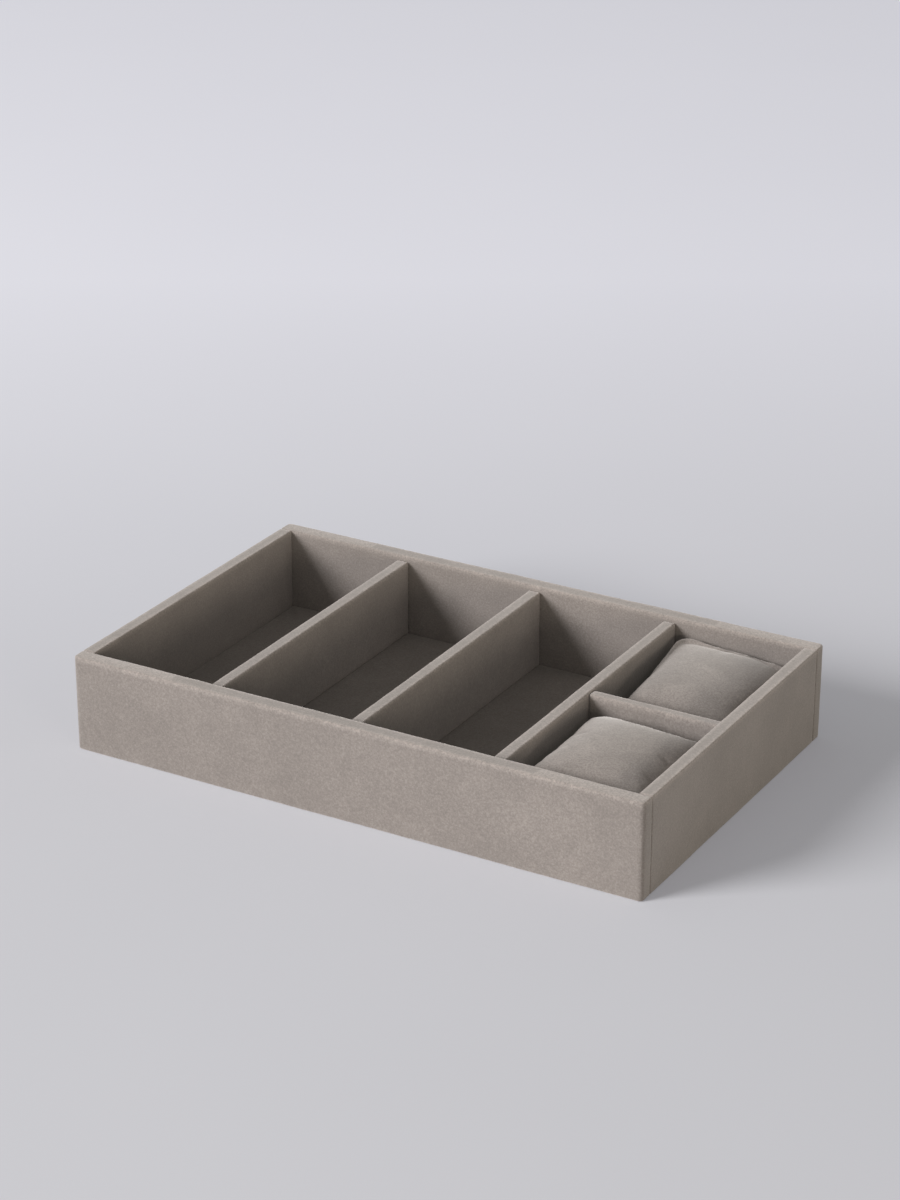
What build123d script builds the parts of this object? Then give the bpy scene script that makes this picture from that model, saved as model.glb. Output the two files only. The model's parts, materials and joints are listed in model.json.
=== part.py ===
from build123d import *
import math
import os

# Velvet-covered jewelry display tray with three long compartments and two watch bays.
# Millimetres. +X runs along the long side, +Y to the back, +Z up, and the tray rests on Z = 0.

# Tray
tray_length = 320.0
tray_width = 201.0
tray_height = 51.5

# Cloth and boards: each board is cut, wrapped in velvet on its own, and glued in place
velvet = 1.1
long_wall_board = 6.4
end_wall_board = 5.0
divider_board_thickness = 4.8
cross_board_thickness = 3.8

# Rounding of the wrapped edges
rim_radius = 2.2
foot_radius = 1.4
end_radius = 2.4
divider_top_radius = 2.4
divider_foot_radius = 1.0
divider_end_radius = 1.2

# Bottom of the tray, from the table up
underside_sheet = 1.0
base_board_thickness = 3.9
lining_card_thickness = 1.0
lining_gap = 0.3

# Compartments
first_bay = 67.4
second_bay = 73.6
third_bay = 71.9
front_watch_bay = 86.9
divider_drop = 2.7
cross_drop = 3.2
divider_end_gap = 0.3

# Watch cushions
cushion_cloth = 1.0
cushion_left_gap = 2.6
cushion_right_gap = 0.5
cushion_front_gap = 1.6
cushion_back_gap = 0.9
cushion_below_rim = 1.8
cushion_crown = 8.5
cushion_corner_radius = 11.0
filling_gap = 0.35
filling_corner_cut = 9.2

# Sides of a cushion away from its seam, in three or four slopes each. A pair says how far in and
# how far up or down a slope ends, as shares of the corner radius and of the crown's or belly's rise
crown_slopes = ((0.09, 0.40), (0.32, 0.70), (0.62, 0.91), (0.95, 1.0))
belly_slopes = ((0.06, 0.30), (0.24, 0.66), (0.62, 1.0))

# Worked out from the sizes above
long_wall = long_wall_board + 2 * velvet
end_wall = end_wall_board + 2 * velvet
divider_thickness = divider_board_thickness + 2 * velvet
cross_thickness = cross_board_thickness + 2 * velvet
inner_length = tray_length - 2 * end_wall
inner_width = tray_width - 2 * long_wall
inner_left = -inner_length / 2
inner_right = inner_length / 2
inner_front = -inner_width / 2
inner_back = inner_width / 2

base_board_bottom = underside_sheet
lining_card_bottom = base_board_bottom + base_board_thickness
lining_velvet_bottom = lining_card_bottom + lining_card_thickness
floor_level = lining_velvet_bottom + velvet

divider_height = tray_height - divider_drop - floor_level
cross_height = tray_height - cross_drop - floor_level
divider_length = inner_width - 2 * divider_end_gap
divider_places = []
next_bay_start = inner_left
for bay in (first_bay, second_bay, third_bay):
    divider_places.append(next_bay_start + bay + divider_thickness / 2)
    next_bay_start = next_bay_start + bay + divider_thickness
watch_bay_left = next_bay_start
watch_bay_length = inner_right - watch_bay_left
cross_length = watch_bay_length - 2 * divider_end_gap
cross_front = inner_front + front_watch_bay
cross_back = cross_front + cross_thickness


def edge_outline(thickness, height, top_radius, bottom_radius):
    """Upright cross section of a board: a rectangle on its foot with rounded corners."""
    with BuildSketch() as outline:
        Rectangle(thickness, height, align=(Align.CENTER, Align.MIN))
        corners = outline.vertices().group_by(Axis.Y)
        fillet(corners[-1], min(top_radius, 0.49 * thickness))
        if bottom_radius > 0:
            fillet(corners[0], min(bottom_radius, 0.49 * thickness))
    return outline.sketch


def wrapped_body(plane, length, thickness, height, top_radius, bottom_radius, ends):
    """Outer form of a wrapped board, with its upright ends rounded too."""
    with BuildPart() as body:
        with BuildSketch(plane):
            add(edge_outline(thickness, height, top_radius, bottom_radius))
        extrude(amount=length / 2, both=True)
        end_edges = body.faces().sort_by(Axis(plane.origin, plane.z_dir))
        fillet(end_edges[0].edges() + end_edges[-1].edges(), min(ends, 0.35 * thickness))
    return body.part


def bare_board(plane, length, thickness, height, top_radius, bottom_radius):
    """Cut board, or the pocket that a cover leaves for it."""
    with BuildPart() as board:
        with BuildSketch(plane):
            add(edge_outline(thickness, height, top_radius, bottom_radius))
        extrude(amount=length / 2, both=True)
    return board.part


def upright_plane(x, y, z, along_x):
    """Plane of a wall's cross section: its own X across the wall, its own Y up."""
    if along_x:
        return Plane(origin=(x, y, z), x_dir=(0, 1, 0), z_dir=(1, 0, 0))
    return Plane(origin=(x, y, z), x_dir=(-1, 0, 0), z_dir=(0, 1, 0))


def make_wrapped(name, place, along_x, length, thickness, height, top_radius, bottom_radius, ends):
    """Write one board and the velvet cover that wraps it on every side."""
    x, y, z = place
    inner = (length - 2 * velvet, thickness - 2 * velvet, height - 2 * velvet,
             top_radius - velvet, max(bottom_radius - velvet, 0))
    pocket_plane = upright_plane(x, y, z + velvet, along_x)
    with BuildPart() as board:
        add(bare_board(pocket_plane, *inner))
    with BuildPart() as cover:
        add(wrapped_body(upright_plane(x, y, z, along_x), length, thickness, height,
                         top_radius, bottom_radius, ends))
        add(board.part, mode=Mode.SUBTRACT)
    board.part.label = name + "_board"
    cover.part.label = name + "_cover"
    export_step(board.part, "parts/" + name + "_board.step")
    export_step(cover.part, "parts/" + name + "_cover.step")


def make_sheet(name, length, width, bottom, thickness):
    """Write one flat sheet of the tray's bottom."""
    with BuildPart() as sheet:
        with BuildSketch(Plane.XY.offset(bottom)):
            Rectangle(length, width)
        extrude(amount=thickness)
    sheet.part.label = name
    export_step(sheet.part, "parts/" + name + ".step")


def cushion_half(centre, seam_level, facing, rise, plan, slopes):
    """Half a cushion, from its seam up (facing 1) or down (-1), narrowing slope by slope."""
    with BuildPart() as half:
        with BuildSketch(Plane(origin=(centre[0], centre[1], seam_level), z_dir=(0, 0, facing))):
            add(plan)
        last_in, last_up = 0, 0
        for slope_in, slope_up in slopes:
            amount = rise * (slope_up - last_up)
            taper = math.degrees(math.atan2(cushion_corner_radius * (slope_in - last_in), amount))
            if last_up == 0:
                extrude(amount=amount, taper=taper)
            else:
                extrude(half.faces().sort_by(Axis.Z)[-1 if facing > 0 else 0], amount=amount,
                        taper=taper)
            last_in, last_up = slope_in, slope_up
    return half.part


def make_cushion(name, front, back):
    """Write one watch cushion: two velvet panels sewn along the seam, round a filling."""
    left = watch_bay_left + cushion_left_gap
    right = inner_right - cushion_right_gap
    near = front + cushion_front_gap
    far = back - cushion_back_gap
    centre = ((left + right) / 2, (near + far) / 2)
    width = right - left
    depth = far - near
    crown_top = tray_height - cushion_below_rim
    seam_level = crown_top - cushion_crown
    bottom_rise = seam_level - floor_level
    top_inner_rise = cushion_crown - cushion_cloth
    bottom_inner = floor_level + cushion_cloth
    filling_inset = cushion_cloth + filling_gap
    filling_bottom = floor_level + filling_inset
    with BuildSketch() as outer_plan:
        RectangleRounded(width, depth, cushion_corner_radius)
    with BuildSketch() as inner_plan:
        Rectangle(width - 2 * cushion_cloth, depth - 2 * cushion_cloth)
        chamfer(inner_plan.vertices(), filling_corner_cut)
    with BuildSketch() as filling_plan:
        Rectangle(width - 2 * filling_inset, depth - 2 * filling_inset)
        chamfer(filling_plan.vertices(), filling_corner_cut)

    with BuildPart() as bottom_panel:
        add(cushion_half(centre, seam_level, -1, bottom_rise, outer_plan.sketch, belly_slopes))
        add(cushion_half(centre, seam_level, -1, seam_level - bottom_inner, inner_plan.sketch,
                         belly_slopes), mode=Mode.SUBTRACT)
    with BuildPart() as top_panel:
        add(cushion_half(centre, seam_level, 1, cushion_crown, outer_plan.sketch, crown_slopes))
        add(cushion_half(centre, seam_level, 1, top_inner_rise, inner_plan.sketch, crown_slopes),
            mode=Mode.SUBTRACT)
    with BuildPart() as filling:
        add(cushion_half(centre, seam_level, -1, seam_level - filling_bottom, filling_plan.sketch,
                         belly_slopes))
        add(cushion_half(centre, seam_level, 1, top_inner_rise - filling_gap, filling_plan.sketch,
                         crown_slopes))
    for piece, suffix in ((bottom_panel, "_bottom_panel"), (top_panel, "_top_panel"),
                          (filling, "_filling")):
        piece.part.label = name + suffix
        export_step(piece.part, "parts/" + name + suffix + ".step")


os.makedirs("parts", exist_ok=True)

# Long walls run the whole length, and the end walls butt between them
long_wall_y = tray_width / 2 - long_wall / 2
end_wall_x = tray_length / 2 - end_wall / 2
for name, side in (("front_wall", -1), ("back_wall", 1)):
    make_wrapped(name, (0, side * long_wall_y, 0), True, tray_length, long_wall, tray_height,
                 rim_radius, foot_radius, end_radius)
for name, side in (("left_wall", -1), ("right_wall", 1)):
    make_wrapped(name, (side * end_wall_x, 0, 0), False, inner_width, end_wall, tray_height,
                 rim_radius, foot_radius, end_radius)

# Bottom: underside sheet, base board, lining card and lining velvet lie between the walls
make_sheet("underside_sheet", inner_length, inner_width, 0, underside_sheet)
make_sheet("base_board", inner_length, inner_width, base_board_bottom, base_board_thickness)
make_sheet("lining_card", inner_length - 2 * lining_gap, inner_width - 2 * lining_gap,
           lining_card_bottom, lining_card_thickness)
make_sheet("lining_velvet", inner_length - 2 * lining_gap, inner_width - 2 * lining_gap,
           lining_velvet_bottom, velvet)

# Dividers stand on the lining
for number, place in enumerate(divider_places, start=1):
    make_wrapped("divider_%d" % number, (place, 0, floor_level), False, divider_length,
                 divider_thickness, divider_height, divider_top_radius, divider_foot_radius,
                 divider_end_radius)
make_wrapped("cross_divider", ((watch_bay_left + inner_right) / 2, (cross_front + cross_back) / 2,
                               floor_level), True, cross_length, cross_thickness, cross_height,
             divider_top_radius, divider_foot_radius, divider_end_radius)

# Watch cushions lift out of their bays
make_cushion("front_cushion", inner_front, cross_front)
make_cushion("rear_cushion", cross_back, inner_back)
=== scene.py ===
import json
import math

import bmesh
import bpy
from bpy.props import FloatProperty, FloatVectorProperty, IntProperty, PointerProperty
from bpy.types import Operator, Panel, PropertyGroup
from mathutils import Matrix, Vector, noise


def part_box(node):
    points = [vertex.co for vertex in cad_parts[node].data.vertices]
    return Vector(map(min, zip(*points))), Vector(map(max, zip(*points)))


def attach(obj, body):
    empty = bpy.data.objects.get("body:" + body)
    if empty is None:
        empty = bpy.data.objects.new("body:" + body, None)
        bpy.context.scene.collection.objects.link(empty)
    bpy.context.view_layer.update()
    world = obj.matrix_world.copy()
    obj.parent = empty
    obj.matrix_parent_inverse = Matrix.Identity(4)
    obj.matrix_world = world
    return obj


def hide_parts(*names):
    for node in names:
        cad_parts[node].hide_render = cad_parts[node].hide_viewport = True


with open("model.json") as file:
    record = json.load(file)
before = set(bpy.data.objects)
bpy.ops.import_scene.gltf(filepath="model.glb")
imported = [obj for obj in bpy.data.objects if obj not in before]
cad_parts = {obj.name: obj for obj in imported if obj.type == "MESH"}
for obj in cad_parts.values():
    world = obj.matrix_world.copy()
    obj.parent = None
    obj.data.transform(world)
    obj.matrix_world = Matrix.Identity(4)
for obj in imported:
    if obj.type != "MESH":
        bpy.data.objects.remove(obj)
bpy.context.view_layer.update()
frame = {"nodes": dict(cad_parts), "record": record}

bl_info = {
    "name": "Velvet Jewelry Tray",
    "version": (1, 0, 0),
    "blender": (4, 5, 0),
    "location": "View3D > Sidebar > Tray",
    "description": "Builds the velvet, boards and cushions of a jewelry display tray",
    "category": "Add Mesh",
}

MM = 0.001

TRAY = "tray"
LONG_WALLS = ("front_wall", "back_wall")
END_WALLS = ("left_wall", "right_wall")
LONG_DIVIDERS = ("divider_1", "divider_2", "divider_3")
CUSHIONS = ("front_cushion", "rear_cushion")

# Points closer than this count as one place
TOUCHING = 0.01 * MM


# Settings

class TrayCloth(PropertyGroup):
    """Velvet of the walls, dividers, lining and cushions."""
    velvet_colour: FloatVectorProperty(
        name="Velvet", description="Mean colour of the pile", subtype="COLOR", size=3,
        min=0, max=1, default=(0.324, 0.290, 0.272))
    grain: FloatProperty(
        name="Grain", description="Strength of the pile's fine mottling", min=0, max=1, default=0.4)
    sheen: FloatProperty(
        name="Sheen", description="Light that the pile's tips catch at a glance", min=0, max=1,
        default=0.75)
    # Painted shade: the lining is the walls' velvet darkened, standing in for the shade in the
    # compartments
    lining_painted_shade: FloatProperty(
        name="Lining shade", description="Darkness of the lining against the walls' velvet", min=0,
        max=1, default=0.8)
    waviness: FloatProperty(
        name="Waviness", description="How far the glued cloth strays from its board",
        subtype="DISTANCE", unit="LENGTH", min=0, max=0.001, default=0.35 * MM)
    rim_fuzz: FloatProperty(
        name="Rim fuzz", description="Roughness of the pile along wrapped edges",
        subtype="DISTANCE", unit="LENGTH", min=0, max=0.001, default=0.16 * MM)


class TrayShape(PropertyGroup):
    """Wrapped edges, in the frame's units."""
    rim_radius: FloatProperty(
        name="Rim radius", description="Rounding of the walls' top edges", unit="LENGTH",
        subtype="DISTANCE", min=0.5 * MM, max=4 * MM, default=2.2 * MM)
    end_radius: FloatProperty(
        name="End radius", description="Rounding of the tray's upright corners", unit="LENGTH",
        subtype="DISTANCE", min=0.5 * MM, max=4 * MM, default=2.4 * MM)
    joint_radius: FloatProperty(
        name="Joint radius", description="Rounding on both sides of the upright joints",
        unit="LENGTH", subtype="DISTANCE", min=0.2 * MM, max=4 * MM, default=0.9 * MM)
    foot_radius: FloatProperty(
        name="Foot radius", description="Rounding of the walls' bottom edges", unit="LENGTH",
        subtype="DISTANCE", min=0.2 * MM, max=4 * MM, default=1.4 * MM)
    mesh_step: FloatProperty(
        name="Mesh step", description="Distance between vertices along a board", unit="LENGTH",
        subtype="DISTANCE", min=0.5 * MM, max=10 * MM, default=1.2 * MM)


class TrayCushions(PropertyGroup):
    """The two watch cushions."""
    pressure: FloatProperty(
        name="Pressure", description="Air pressure that fills the sewn panels", min=0, max=20,
        default=4)
    frames: IntProperty(
        name="Frames", description="Frames of cloth simulation", min=1, max=60, default=20)
    gather: FloatProperty(
        name="Gather", description="Slack that the thread gathers into the panels", min=0, max=0.4,
        default=0.015)
    fill: FloatProperty(
        name="Fill", description="From 0, slack, to 1, tight", min=0, max=1, default=0.8)
    crown: FloatProperty(
        name="Crown", description="Height of the crown over the seam", unit="LENGTH",
        subtype="DISTANCE", min=2 * MM, max=20 * MM, default=13 * MM)
    side_pull: FloatProperty(
        name="Side pull", description="How far the sides draw in between the corners, as a share",
        min=0, max=0.2, default=0.07)
    corner: FloatProperty(
        name="Corner", description="Rounding of the corners", unit="LENGTH", subtype="DISTANCE",
        min=1 * MM, max=20 * MM, default=11 * MM)
    lean: FloatProperty(
        name="Lean", description="How far the crown sits towards the left, as a share", min=0,
        max=0.5, default=0.25)
    pucker: FloatProperty(
        name="Pucker", description="Height of the ridges along the seam", unit="LENGTH",
        subtype="DISTANCE", min=0, max=3 * MM, default=0.6 * MM)
    mesh_step: FloatProperty(
        name="Mesh step", description="Distance between vertices on the panels", unit="LENGTH",
        subtype="DISTANCE", min=0.5 * MM, max=6 * MM, default=1.7 * MM)


# Edit mode helpers

def deselect_all():
    if bpy.context.mode != "OBJECT":
        bpy.ops.object.mode_set(mode="OBJECT")
    bpy.ops.object.select_all(action="DESELECT")


def add_block(name, low, high):
    """A box with its place in its mesh, left selected and active."""
    deselect_all()
    bpy.ops.mesh.primitive_cube_add(size=1, location=(low + high) / 2, scale=high - low)
    piece = bpy.context.object
    bpy.ops.object.transform_apply(location=True, rotation=True, scale=True)
    piece.name = name
    piece.data.name = name
    return piece


def select_edges(piece, wanted):
    """Selects the edges whose two end points pass the test, in edit mode."""
    bpy.ops.mesh.select_mode(type="EDGE")
    bpy.ops.mesh.select_all(action="DESELECT")
    mesh = bmesh.from_edit_mesh(piece.data)
    for edge in mesh.edges:
        if wanted(edge.verts[0].co, edge.verts[1].co):
            edge.select_set(True)
    bmesh.update_edit_mesh(piece.data)


def round_edges(piece, wanted, radius, segments):
    select_edges(piece, wanted)
    bpy.ops.mesh.bevel(offset=radius, offset_type="OFFSET", segments=segments, profile=0.5,
                       affect="EDGES", clamp_overlap=True)


def cut_along(piece, axis, shortest, cuts):
    """Subdivides the edges that run along an axis and are longer than a length."""
    def runs_along(a, b):
        span = b - a
        return abs(span[axis]) > shortest and abs(span[axis]) > 0.99 * span.length

    select_edges(piece, runs_along)
    bpy.ops.mesh.subdivide(number_cuts=cuts)


def cut_evenly(piece, axis, length, step):
    """Cuts the long edges along an axis into about one step each, in two passes."""
    coarse = 8
    fine = max(1, round(length / step / coarse))
    if length / step > 2 * coarse:
        cut_along(piece, axis, 0.6 * length, coarse - 1)
        cut_along(piece, axis, 0.6 * length / coarse, fine - 1)
    else:
        cut_along(piece, axis, 0.6 * length, max(1, round(length / step)) - 1)


def add_displace(piece, name, size, strength, group=""):
    """Pushes the cloth along its normals by clouds of one size, and applies it."""
    clouds = bpy.data.textures.new(name, "CLOUDS")
    clouds.noise_scale = size
    clouds.noise_depth = 2
    modifier = piece.modifiers.new(name, "DISPLACE")
    modifier.texture = clouds
    modifier.texture_coords = "LOCAL"
    modifier.strength = strength
    modifier.mid_level = 0.5
    modifier.vertex_group = group
    bpy.context.view_layer.objects.active = piece
    bpy.ops.object.modifier_apply(modifier=name)


def keep_between(piece, bottom, top):
    """Presses what strays below or above two levels flat against them."""
    for vertex in piece.data.vertices:
        vertex.co.z = min(top, max(bottom, vertex.co.z))


def ease(value):
    """Smooth step from 0 to 1."""
    value = min(1.0, max(0.0, value))
    return value * value * (3 - 2 * value)


def edge_share(place, low, high, reach):
    """1 on the wrapped edges of a box, falling to 0 within a reach of them."""
    away = sorted(min(abs(place[i] - low[i]), abs(place[i] - high[i])) for i in range(3))
    return ease(1 - away[1] / reach)


def mark_edges(piece, low, high, reach):
    """Keeps how near each vertex is to an edge: a group for shape, an attribute for colour: rubbed
    pile and painted highlight on the top edges.
    """
    shares = [edge_share(vertex.co, low, high, reach) for vertex in piece.data.vertices]
    # Only the top edges lighten: partly rubbed pile, partly a painted highlight where the lamp
    # catches the rims
    rubbed_and_lit = [share * ease(1 - (high.z - vertex.co.z) / (2 * reach))
              for share, vertex in zip(shares, piece.data.vertices)]
    group = piece.vertex_groups.new(name="edges")
    for index, share in enumerate(shares):
        if share > 0:
            group.add([index], share, "REPLACE")
    wear_and_highlight = piece.data.attributes.new("edge_wear_and_highlight", "FLOAT", "POINT")
    wear_and_highlight.data.foreach_set("value", rubbed_and_lit)


# Shader helpers

def add_noise(tree, coordinates, scale, detail, roughness=0.5, distortion=0.0):
    node = tree.nodes.new("ShaderNodeTexNoise")
    node.inputs["Scale"].default_value = scale
    node.inputs["Detail"].default_value = detail
    node.inputs["Roughness"].default_value = roughness
    node.inputs["Distortion"].default_value = distortion
    tree.links.new(coordinates, node.inputs["Vector"])
    return node.outputs["Fac"]


def add_math(tree, operation, first, second):
    """A Math node whose inputs are sockets or plain numbers."""
    node = tree.nodes.new("ShaderNodeMath")
    node.operation = operation
    for socket, value in zip(node.inputs, (first, second)):
        if isinstance(value, (int, float)):
            socket.default_value = value
        else:
            tree.links.new(value, socket)
    return node.outputs[0]


def add_ramp(tree, factor, stops):
    node = tree.nodes.new("ShaderNodeValToRGB")
    ramp = node.color_ramp
    while len(ramp.elements) < len(stops):
        ramp.elements.new(0.5)
    for element, (place, colour) in zip(ramp.elements, stops):
        element.position = place
        element.color = (*colour, 1)
    tree.links.new(factor, node.inputs["Fac"])
    return node.outputs["Color"]


def add_bump(tree, height, distance, strength, normal=None):
    node = tree.nodes.new("ShaderNodeBump")
    node.inputs["Distance"].default_value = distance
    node.inputs["Strength"].default_value = strength
    tree.links.new(height, node.inputs["Height"])
    if normal is not None:
        tree.links.new(normal, node.inputs["Normal"])
    return node.outputs["Normal"]


def new_material(name):
    material = bpy.data.materials.new(name)
    material.use_nodes = True
    tree = material.node_tree
    shader = tree.nodes["Principled BSDF"]
    coordinates = tree.nodes.new("ShaderNodeTexCoord").outputs["Object"]
    return material, tree, shader, coordinates


def shaded(colour, factor):
    return tuple(min(1.0, factor * part) for part in colour)


# Noise scales of the velvet, from single tufts to patches as wide as a hand's stroke
TUFT_SCALE = 1100
CLUMP_SCALE = 420
BRUSHED_SCALE = 45
BROAD_SCALE = 12

# Shares of the grain that tufts and clumps take, and of the lighter top edges, partly rubbed pile
# and partly painted highlight
TUFT_SHARE = 2.0
CLUMP_SHARE = 0.3
WEAR_AND_HIGHLIGHT_SHARE = 0.6


def add_swing(tree, pattern, strength):
    """A pattern's swing about its middle, 0.5, at a strength."""
    return add_math(tree, "MULTIPLY", add_math(tree, "SUBTRACT", pattern, 0.5), strength)


def velvet_material(name, colour, grain, sheen, patch=0.5):
    """Short velvet pile: fine mottling, brushed patches, lighter tips along the top edges, partly
    worn pile and partly painted highlight.
    """
    material, tree, shader, coordinates = new_material(name)
    fine = add_noise(tree, coordinates, TUFT_SCALE, 3, 0.75)
    clumps = add_noise(tree, coordinates, CLUMP_SCALE, 3, 0.6)
    brushed = add_noise(tree, coordinates, BRUSHED_SCALE, 3, 0.55, 0.8)
    broad = add_noise(tree, coordinates, BROAD_SCALE, 2, 0.5, 0.4)
    wear_and_highlight = tree.nodes.new("ShaderNodeAttribute")
    wear_and_highlight.attribute_name = "edge_wear_and_highlight"
    tone = add_swing(tree, fine, TUFT_SHARE * grain)
    for pattern, share in ((clumps, CLUMP_SHARE), (brushed, patch), (broad, patch)):
        tone = add_math(tree, "ADD", tone, add_swing(tree, pattern, share * grain))
    # Lighter top edges: partly worn pile, partly painted highlight
    worn_and_lit = add_math(tree, "MULTIPLY", wear_and_highlight.outputs["Fac"], add_math(tree, "ADD", fine, -0.1))
    tone = add_math(tree, "ADD", tone, add_math(tree, "MULTIPLY", worn_and_lit, WEAR_AND_HIGHLIGHT_SHARE))
    tone = add_math(tree, "ADD", tone, 0.5)
    pile = add_ramp(tree, tone, (
        (0.0, shaded(colour, 0.5)), (0.5, colour), (1.0, shaded(colour, 1.8))))
    tree.links.new(pile, shader.inputs["Base Color"])
    normal = add_bump(tree, clumps, 0.35 * MM, 0.35)
    normal = add_bump(tree, fine, 0.22 * MM, 0.5, normal)
    tree.links.new(normal, shader.inputs["Normal"])
    shader.inputs["Roughness"].default_value = 0.95
    shader.inputs["Diffuse Roughness"].default_value = 0.8
    shader.inputs["Specular IOR Level"].default_value = 0.12
    shader.inputs["Sheen Weight"].default_value = sheen
    shader.inputs["Sheen Roughness"].default_value = 0.42
    shader.inputs["Sheen Tint"].default_value = (1.0, 0.97, 0.94, 1)
    return material


def fibre_material(name, dark, light, scale, roughness):
    """Fibreboard, card or felt: two tones in short fibres."""
    material, tree, shader, coordinates = new_material(name)
    fibres = add_noise(tree, coordinates, scale, 6, 0.7, 1.5)
    flecks = add_noise(tree, coordinates, 4 * scale, 2, 0.6)
    mixed = add_math(tree, "ADD", add_math(tree, "MULTIPLY", fibres, 0.7),
                     add_math(tree, "MULTIPLY", flecks, 0.3))
    tree.links.new(add_ramp(tree, mixed, ((0.3, dark), (0.7, light))), shader.inputs["Base Color"])
    tree.links.new(add_bump(tree, mixed, 0.2 * MM, 0.5), shader.inputs["Normal"])
    shader.inputs["Roughness"].default_value = roughness
    return material


def use_material(piece, material):
    piece.data.materials.clear()
    piece.data.materials.append(material)


# Wrapped boards

# Widths of the cloth's waves: slack over the board, ripples, and fuzz along the edges
SLACK_WIDTH = 45 * MM
RIPPLE_WIDTH = 9 * MM
FUZZ_WIDTH = 1.6 * MM

# Outer end, inner end, top and foot of a divider
DIVIDER_RADII = (1.2 * MM, 1.2 * MM, 2.2 * MM, 1.0 * MM)

LINING_EDGE_RADIUS = 0.5 * MM
LINING_SLACK_WIDTH = 30 * MM
# Depth of the lining's top layer, which strays, while its underside stays flat
LINING_TOP_DEPTH = 0.6 * MM

# Each slot's material: name, dark and light fibres, scale of the fibres, roughness
FIBRE_FINISHES = {
    "wall_board": ("fibreboard", (0.30, 0.20, 0.12), (0.46, 0.34, 0.22), 500, 0.85),
    "card": ("grey card", (0.24, 0.23, 0.21), (0.36, 0.34, 0.32), 700, 0.8),
    "underside_felt": ("felt", (0.085, 0.078, 0.070), (0.15, 0.135, 0.12), 380, 1.0),
}


def add_wrapped_board(name, node, along, shape, cloth, radii):
    """A board in glued velvet: rounded edges, a finely cut mesh and cloth that strays a little."""
    low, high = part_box(node)
    size = high - low
    piece = add_block(name, low, high)
    outer_end, inner_end, rim_radius, foot_radius = radii
    across = 1 - along
    outer_face, inner_face = high[across], low[across]
    if low[across] + high[across] < 0:
        outer_face, inner_face = inner_face, outer_face
    bpy.ops.object.mode_set(mode="EDIT")
    for face, radius in ((outer_face, outer_end), (inner_face, inner_end)):
        round_edges(piece, lambda a, b: abs(a.z - b.z) > 0.9 * size.z
                    and abs(a[across] - face) < TOUCHING, radius, 4)
    round_edges(piece, lambda a, b: min(a.z, b.z) > high.z - TOUCHING, rim_radius, 5)
    round_edges(piece, lambda a, b: max(a.z, b.z) < low.z + TOUCHING, foot_radius, 4)
    cut_evenly(piece, along, size[along] - 2 * outer_end, shape.mesh_step)
    cut_evenly(piece, 2, size.z - rim_radius - foot_radius, 1.6 * shape.mesh_step)
    cut_along(piece, across, 0.4 * (size[across] - 2 * outer_end), 3)
    bpy.ops.mesh.select_all(action="SELECT")
    bpy.ops.mesh.normals_make_consistent(inside=False)
    bpy.ops.object.mode_set(mode="OBJECT")
    mark_edges(piece, low, high, 1.3 * rim_radius)
    add_displace(piece, name + " slack", SLACK_WIDTH, cloth.waviness)
    add_displace(piece, name + " ripple", RIPPLE_WIDTH, 0.4 * cloth.waviness)
    add_displace(piece, name + " fuzz", FUZZ_WIDTH, cloth.rim_fuzz, "edges")
    keep_between(piece, low.z, high.z + 0.5 * cloth.waviness)
    bpy.ops.object.shade_smooth()
    return piece


def finish_piece(piece, material, body, slot, *nodes):
    use_material(piece, material)
    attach(piece, body)
    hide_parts(*nodes)


class TRAY_OT_wrapped_walls(Operator):
    """Wrap the four wall boards in velvet"""
    bl_idname = "tray.wrapped_walls"
    bl_label = "Wrapped Walls"
    bl_options = {"REGISTER", "UNDO"}

    def execute(self, context):
        cloth, shape = context.scene.tray_cloth, context.scene.tray_shape
        velvet = velvet_material("wall velvet", cloth.velvet_colour, cloth.grain, cloth.sheen)
        for along, walls, outer_end in ((0, LONG_WALLS, shape.end_radius),
                                        (1, END_WALLS, shape.joint_radius)):
            radii = (outer_end, shape.joint_radius, shape.rim_radius, shape.foot_radius)
            for wall in walls:
                node = wall + "_cover"
                piece = add_wrapped_board(wall + "_velvet", node, along, shape, cloth, radii)
                finish_piece(piece, velvet, TRAY, "velvet", node)
        return {"FINISHED"}


class TRAY_OT_wrapped_dividers(Operator):
    """Wrap the three long dividers and the cross divider in velvet"""
    bl_idname = "tray.wrapped_dividers"
    bl_label = "Wrapped Dividers"
    bl_options = {"REGISTER", "UNDO"}

    def execute(self, context):
        cloth, shape = context.scene.tray_cloth, context.scene.tray_shape
        velvet = velvet_material("divider velvet", cloth.velvet_colour, cloth.grain, cloth.sheen)
        for divider in LONG_DIVIDERS + ("cross_divider",):
            along = 0 if divider == "cross_divider" else 1
            node = divider + "_cover"
            piece = add_wrapped_board(divider + "_velvet", node, along, shape, cloth,
                                      DIVIDER_RADII)
            finish_piece(piece, velvet, TRAY, "velvet", node)
        return {"FINISHED"}


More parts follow.
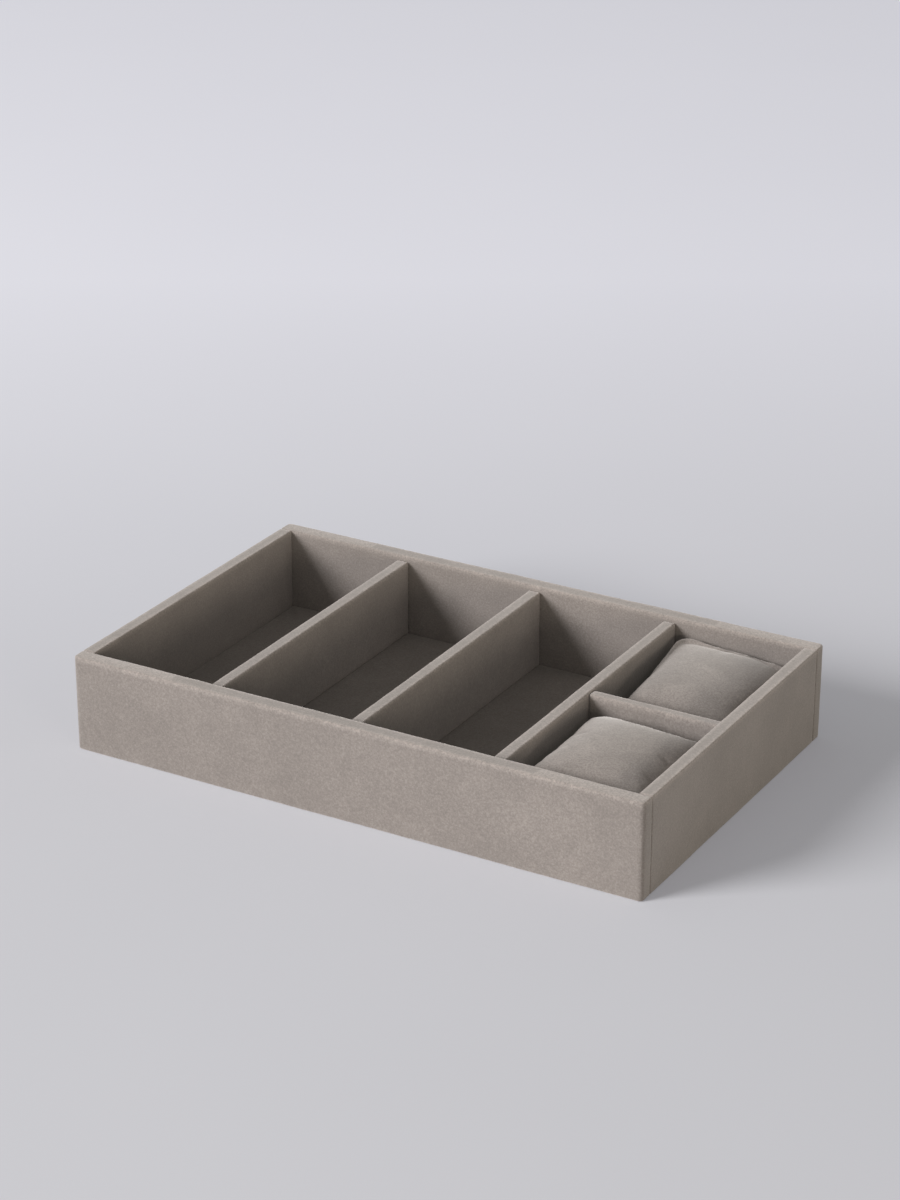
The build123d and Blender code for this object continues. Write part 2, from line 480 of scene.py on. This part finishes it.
class TRAY_OT_floor_lining(Operator):
    """Lay the velvet floor of the compartments"""
    bl_idname = "tray.floor_lining"
    bl_label = "Floor Lining"
    bl_options = {"REGISTER", "UNDO"}

    def execute(self, context):
        cloth, shape = context.scene.tray_cloth, context.scene.tray_shape
        low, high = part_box("lining_velvet")
        piece = add_block("floor_lining_velvet", low, high)
        bpy.ops.object.mode_set(mode="EDIT")
        round_edges(piece, lambda a, b: min(a.z, b.z) > high.z - TOUCHING,
                    LINING_EDGE_RADIUS, 3)
        cut_evenly(piece, 0, high.x - low.x, 2 * shape.mesh_step)
        cut_evenly(piece, 1, high.y - low.y, 2 * shape.mesh_step)
        bpy.ops.mesh.select_all(action="SELECT")
        bpy.ops.mesh.normals_make_consistent(inside=False)
        bpy.ops.object.mode_set(mode="OBJECT")
        top = piece.vertex_groups.new(name="top")
        top.add([vertex.index for vertex in piece.data.vertices
                 if vertex.co.z > high.z - LINING_TOP_DEPTH], 1, "REPLACE")
        add_displace(piece, "lining slack", LINING_SLACK_WIDTH, 0.5 * cloth.waviness, "top")
        keep_between(piece, low.z, high.z)
        bpy.ops.object.shade_smooth()
        # Painted shade: the lining's velvet is darkened for the shade that falls in the
        # compartments
        velvet = velvet_material("lining velvet", shaded(cloth.velvet_colour, cloth.lining_painted_shade),
                                 cloth.grain, 0.4 * cloth.sheen)
        finish_piece(piece, velvet, TRAY, "lining_velvet", "lining_velvet")
        return {"FINISHED"}


class TRAY_OT_boards_and_sheets(Operator):
    """Give the boards, card and underside sheet their finishes"""
    bl_idname = "tray.boards_and_sheets"
    bl_label = "Boards and Sheets"
    bl_options = {"REGISTER", "UNDO"}

    def execute(self, context):
        finishes = {slot: fibre_material(*finish) for slot, finish in FIBRE_FINISHES.items()}
        for row in frame["record"]["subparts"]:
            if row["material_slot"] in finishes:
                use_material(frame["nodes"][row["node"]], finishes[row["material_slot"]])
        return {"FINISHED"}


# Watch cushions

SIM_SCALE = 10
# How far each cushion's seam rises towards the back and sinks beside the end wall
REAR_LIFTS = {"front_cushion": 1.5 * MM, "rear_cushion": 7 * MM}
RIGHT_DROPS = {"front_cushion": 0.5 * MM, "rear_cushion": 7 * MM}
# How firmly the seam is held while the panels swell, and how far a point may move
SEAM_HOLD = 0.6
MOST_MOVE = 3.5 * MM
# How far puckers run in from the seam, and how far the foot draws in, as shares of the half width
PUCKER_REACH = 0.16
FOOT_DRAW = 0.12
# Powers that shape the crown across and along, and the squarer belly
CROWN_POWER_ACROSS = 2.2
CROWN_POWER_ALONG = 2.8
BELLY_POWER = 7


def round_corner(x, y, half_x, half_y, radius):
    """Draws a point in a rectangle's corner in to a round corner."""
    out_x, out_y = abs(x) - half_x + radius, abs(y) - half_y + radius
    if out_x <= 0 or out_y <= 0:
        return x, y
    share = max(out_x, out_y) / math.hypot(out_x, out_y)
    return (math.copysign(half_x - radius + out_x * share, x),
            math.copysign(half_y - radius + out_y * share, y))


def puckers(u, v, seed, reach):
    """Ridges that run in from the seam, -1 to 1, fading out over a share of the half width."""
    nearness = math.exp(-(1 - max(abs(u), abs(v))) / reach)
    along = v if abs(u) > abs(v) else u
    return nearness * noise.noise(Vector((9 * along, 3 * math.copysign(1, u + v), seed)))


def sewn_panels(name, low, high, cushions, rear_lift, right_drop, seed):
    """Two cut panels, top and bottom, sewn together along their edges round a flat foot."""
    size = high - low
    middle = (low + high) / 2
    step = cushions.mesh_step
    deselect_all()
    bpy.ops.mesh.primitive_grid_add(
        x_subdivisions=round(size.x / step), y_subdivisions=round(size.y / step), size=2)
    piece = bpy.context.object
    piece.name = name
    piece.data.name = name
    bpy.ops.object.mode_set(mode="EDIT")
    bpy.ops.mesh.select_all(action="SELECT")
    bpy.ops.mesh.duplicate()
    bpy.ops.transform.translate(value=(0, 0, -1))
    bpy.ops.mesh.flip_normals()
    bpy.ops.object.mode_set(mode="OBJECT")
    half_x, half_y = size.x / 2, size.y / 2
    seam_level = high.z - cushions.crown
    held = piece.vertex_groups.new(name="seam")
    held.add([vertex.index for vertex in piece.data.vertices
              if max(abs(vertex.co.x), abs(vertex.co.y)) > 0.999], SEAM_HOLD, "REPLACE")
    for vertex in piece.data.vertices:
        u, v, top = vertex.co.x, vertex.co.y, vertex.co.z > -0.5
        pull_x = 1 - cushions.side_pull * (1 - v * v) * abs(u) ** 3
        pull_y = 1 - cushions.side_pull * (1 - u * u) * abs(v) ** 3
        x, y = round_corner(half_x * u * pull_x, half_y * v * pull_y, half_x, half_y,
                            cushions.corner)
        seam = seam_level + rear_lift * v - right_drop * max(0, u) ** 2
        ridge = cushions.pucker * puckers(u, v, seed, PUCKER_REACH)
        if top:
            left_u = u + cushions.lean * (1 - u * u)
            dome = ((1 - abs(left_u) ** CROWN_POWER_ACROSS)
                    * (1 - abs(v) ** CROWN_POWER_ALONG)) ** 0.5
            z = seam + (high.z - seam) * dome + ridge
        else:
            dome = ((1 - abs(u) ** BELLY_POWER) * (1 - abs(v) ** BELLY_POWER)) ** 0.5
            z = seam + (low.z - seam) * dome + ridge
            drawn = 1 - FOOT_DRAW * dome * max(abs(u), abs(v)) ** 2
            x, y = x * drawn, y * drawn
        vertex.co = (middle.x + x, middle.y + y, z)
    bpy.ops.object.mode_set(mode="EDIT")
    bpy.ops.mesh.select_all(action="SELECT")
    bpy.ops.mesh.remove_doubles(threshold=TOUCHING)
    # Known fault: this turns the rear cushion's faces inwards, so swell draws its panels in
    bpy.ops.mesh.normals_make_consistent(inside=False)
    bpy.ops.object.mode_set(mode="OBJECT")
    return piece


def swell(piece, cushions):
    """Air pressure swells the slack panels in a cloth simulation, at ten times their size."""
    for vertex in piece.data.vertices:
        vertex.co *= SIM_SCALE
    modifier = piece.modifiers.new("Filling", "CLOTH")
    settings = modifier.settings
    settings.quality = 6
    settings.mass = 0.3
    settings.air_damping = 6
    settings.tension_stiffness = 18
    settings.compression_stiffness = 18
    settings.shear_stiffness = 8
    settings.bending_stiffness = 1.2
    settings.use_pressure = True
    settings.uniform_pressure_force = cushions.pressure
    settings.shrink_min = -cushions.gather
    settings.vertex_group_mass = "seam"
    settings.effector_weights.gravity = 0
    modifier.collision_settings.use_collision = False
    modifier.point_cache.frame_start = 1
    modifier.point_cache.frame_end = cushions.frames
    scene = bpy.context.scene
    scene.frame_end = max(scene.frame_end, cushions.frames)
    for number in range(1, cushions.frames + 1):
        scene.frame_set(number)
    bpy.context.view_layer.objects.active = piece
    bpy.ops.object.modifier_apply(modifier=modifier.name)
    scene.frame_set(1)
    for vertex in piece.data.vertices:
        vertex.co /= SIM_SCALE


def cap_movement(piece, before, low, high, most):
    """Keeps the swollen cloth near its cut, then eases its dome down under the crown's height."""
    for vertex, start in zip(piece.data.vertices, before):
        move = vertex.co - start
        if move.length > most:
            move *= most / move.length
        vertex.co = start + move
    middle = (low.z + high.z) / 2
    top = max(vertex.co.z for vertex in piece.data.vertices)
    squeeze = min(1, (high.z - middle) / (top - middle))
    for vertex in piece.data.vertices:
        if vertex.co.z > middle:
            vertex.co.z = middle + (vertex.co.z - middle) * squeeze
        for axis in range(3):
            vertex.co[axis] = min(high[axis], max(low[axis], vertex.co[axis]))


class TRAY_OT_watch_cushions(Operator):
    """Sew and fill the two watch cushions"""
    bl_idname = "tray.watch_cushions"
    bl_label = "Watch Cushions"
    bl_options = {"REGISTER", "UNDO"}

    def execute(self, context):
        cloth, cushions = context.scene.tray_cloth, context.scene.tray_cushions
        velvet = velvet_material("cushion velvet", cloth.velvet_colour, 1.2 * cloth.grain,
                                 cloth.sheen, 0.9)
        for seed, cushion in enumerate(CUSHIONS):
            low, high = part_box(cushion + "_bottom_panel")
            high.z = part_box(cushion + "_top_panel")[1].z
            piece = sewn_panels(cushion + "_cover", low, high, cushions, REAR_LIFTS[cushion],
                                RIGHT_DROPS[cushion], 7.3 * seed)
            before = [vertex.co.copy() for vertex in piece.data.vertices]
            swell(piece, cushions)
            cap_movement(piece, before, low, high, MOST_MOVE)
            smooth = piece.modifiers.new("Smooth", "SUBSURF")
            smooth.levels = smooth.render_levels = 1
            bpy.context.view_layer.objects.active = piece
            bpy.ops.object.modifier_apply(modifier=smooth.name)
            bpy.ops.object.shade_smooth()
            finish_piece(piece, velvet, cushion, "cushion_velvet", cushion + "_top_panel",
                         cushion + "_bottom_panel", cushion + "_filling")
        return {"FINISHED"}


# Floor, backdrop, lights and camera

CAMERA_PLACE = (0.7322, -1.2713, 0.7292)
CAMERA_AZIMUTH = 29.94
CAMERA_ELEVATION = 23.90
CAMERA_LENS = 96.44
SENSOR = 36.0

FLOOR_SIZE = 12
FLOOR_DROP = 0.02 * MM
FLOOR_TONES = ((0.615, 0.62, 0.655), (0.63, 0.635, 0.67))
# The camera sees the floor glow from the first strength to the second over this depth; the first
# paints light into the tray's shadow on the floor
GLOW_COLOUR = (0.88, 0.88, 1, 1)
GLOW_STRENGTHS = (0.13, 0.35)
GLOW_DEPTH = 0.75
AWAY_FROM_CAMERA = (-0.5, 0.866, 0)

# Each lamp's name, place, size, power and colour
LAMP_AIM = (0, 0, 0.03)
LAMPS = (
    ("window", (-2.76, -3.59, 2.07), 2.2, 252, (1, 0.99, 0.985)),
    ("warm fill", (2.7, -1.6, 0.38), 1.2, 21, (1, 0.90, 0.75)),
)
AMBIENT_COLOUR = (1, 0.985, 0.93, 1)
AMBIENT_STRENGTH = 0.27
BACKGROUND_COLOUR = (0.665, 0.67, 0.70, 1)


def stage_material():
    """Pale seamless paper, which the camera sees a little brighter towards the backdrop, with a
    glow that lightens the tray's shadow.
    """
    material, tree, shader, coordinates = new_material("pale floor")
    soft = add_noise(tree, coordinates, 3, 2)
    tree.links.new(add_ramp(tree, soft, ((0.3, FLOOR_TONES[0]), (0.7, FLOOR_TONES[1]))),
                   shader.inputs["Base Color"])
    shader.inputs["Roughness"].default_value = 0.9
    shader.inputs["Specular IOR Level"].default_value = 0.1
    depth = tree.nodes.new("ShaderNodeVectorMath")
    depth.operation = "DOT_PRODUCT"
    depth.inputs[1].default_value = AWAY_FROM_CAMERA
    tree.links.new(coordinates, depth.inputs[0])
    rise = tree.nodes.new("ShaderNodeMapRange")
    rise.inputs["From Min"].default_value = 0
    rise.inputs["From Max"].default_value = GLOW_DEPTH
    rise.inputs["To Min"].default_value = GLOW_STRENGTHS[0]
    rise.inputs["To Max"].default_value = GLOW_STRENGTHS[1]
    tree.links.new(depth.outputs["Value"], rise.inputs["Value"])
    path = tree.nodes.new("ShaderNodeLightPath")
    shader.inputs["Emission Color"].default_value = GLOW_COLOUR
    glow = add_math(tree, "MULTIPLY", rise.outputs["Result"], path.outputs["Is Camera Ray"])
    tree.links.new(glow, shader.inputs["Emission Strength"])
    return material


def add_area_light(name, place, aim, size, power, colour):
    deselect_all()
    bpy.ops.object.light_add(type="AREA", location=place)
    lamp = bpy.context.object
    lamp.name = name
    lamp.rotation_euler = (Vector(aim) - Vector(place)).to_track_quat("-Z", "Y").to_euler()
    lamp.data.shape = "DISK"
    lamp.data.size = size
    lamp.data.energy = power
    lamp.data.color = colour
    return lamp


class TRAY_OT_stage(Operator):
    """Add the floor, backdrop, lights and camera"""
    bl_idname = "tray.stage"
    bl_label = "Stage"
    bl_options = {"REGISTER", "UNDO"}

    def execute(self, context):
        deselect_all()
        bpy.ops.mesh.primitive_plane_add(size=FLOOR_SIZE, location=(0, 0, -FLOOR_DROP))
        floor = context.object
        floor.name = "floor"
        use_material(floor, stage_material())

        for name, place, size, power, colour in LAMPS:
            add_area_light(name, place, LAMP_AIM, size, power, colour)

        world = bpy.data.worlds.new("studio")
        context.scene.world = world
        world.use_nodes = True
        tree = world.node_tree
        ambient = tree.nodes["Background"]
        ambient.inputs["Color"].default_value = AMBIENT_COLOUR
        ambient.inputs["Strength"].default_value = AMBIENT_STRENGTH
        seen = tree.nodes.new("ShaderNodeBackground")
        seen.inputs["Color"].default_value = BACKGROUND_COLOUR
        mix = tree.nodes.new("ShaderNodeMixShader")
        path = tree.nodes.new("ShaderNodeLightPath")
        tree.links.new(path.outputs["Is Camera Ray"], mix.inputs["Fac"])
        tree.links.new(ambient.outputs["Background"], mix.inputs[1])
        tree.links.new(seen.outputs["Background"], mix.inputs[2])
        tree.links.new(mix.outputs["Shader"], tree.nodes["World Output"].inputs["Surface"])

        bpy.ops.object.camera_add(location=CAMERA_PLACE, rotation=(
            math.radians(90 - CAMERA_ELEVATION), 0, math.radians(CAMERA_AZIMUTH)))
        camera = context.object
        camera.name = "camera"
        camera.data.sensor_fit = "VERTICAL"
        camera.data.sensor_height = SENSOR
        camera.data.lens = CAMERA_LENS
        camera.data.clip_end = 50
        context.scene.camera = camera
        context.scene.view_settings.view_transform = "Standard"
        return {"FINISHED"}


class TRAY_PT_builder(Panel):
    """Lists the tray's pieces in the sidebar"""
    bl_label = "Velvet Jewelry Tray"
    bl_space_type = "VIEW_3D"
    bl_region_type = "UI"
    bl_category = "Tray"

    def draw(self, context):
        for operator in OPERATORS:
            self.layout.operator(operator.bl_idname)
        for group in (context.scene.tray_cloth, context.scene.tray_shape,
                      context.scene.tray_cushions):
            box = self.layout.box()
            for name in group.__annotations__:
                box.prop(group, name)


OPERATORS = (TRAY_OT_wrapped_walls, TRAY_OT_wrapped_dividers, TRAY_OT_floor_lining,
             TRAY_OT_boards_and_sheets, TRAY_OT_watch_cushions, TRAY_OT_stage)
CLASSES = (TrayCloth, TrayShape, TrayCushions) + OPERATORS + (TRAY_PT_builder,)


def register():
    for cls in CLASSES:
        bpy.utils.register_class(cls)
    bpy.types.Scene.tray_cloth = PointerProperty(type=TrayCloth)
    bpy.types.Scene.tray_shape = PointerProperty(type=TrayShape)
    bpy.types.Scene.tray_cushions = PointerProperty(type=TrayCushions)


def unregister():
    del bpy.types.Scene.tray_cushions
    del bpy.types.Scene.tray_shape
    del bpy.types.Scene.tray_cloth
    for cls in reversed(CLASSES):
        bpy.utils.unregister_class(cls)


def main():
    register()
    bpy.ops.tray.wrapped_walls()
    bpy.ops.tray.wrapped_dividers()
    bpy.ops.tray.floor_lining()
    bpy.ops.tray.boards_and_sheets()
    bpy.ops.tray.watch_cushions()
    bpy.ops.tray.stage()


if __name__ == "__main__":
    main()
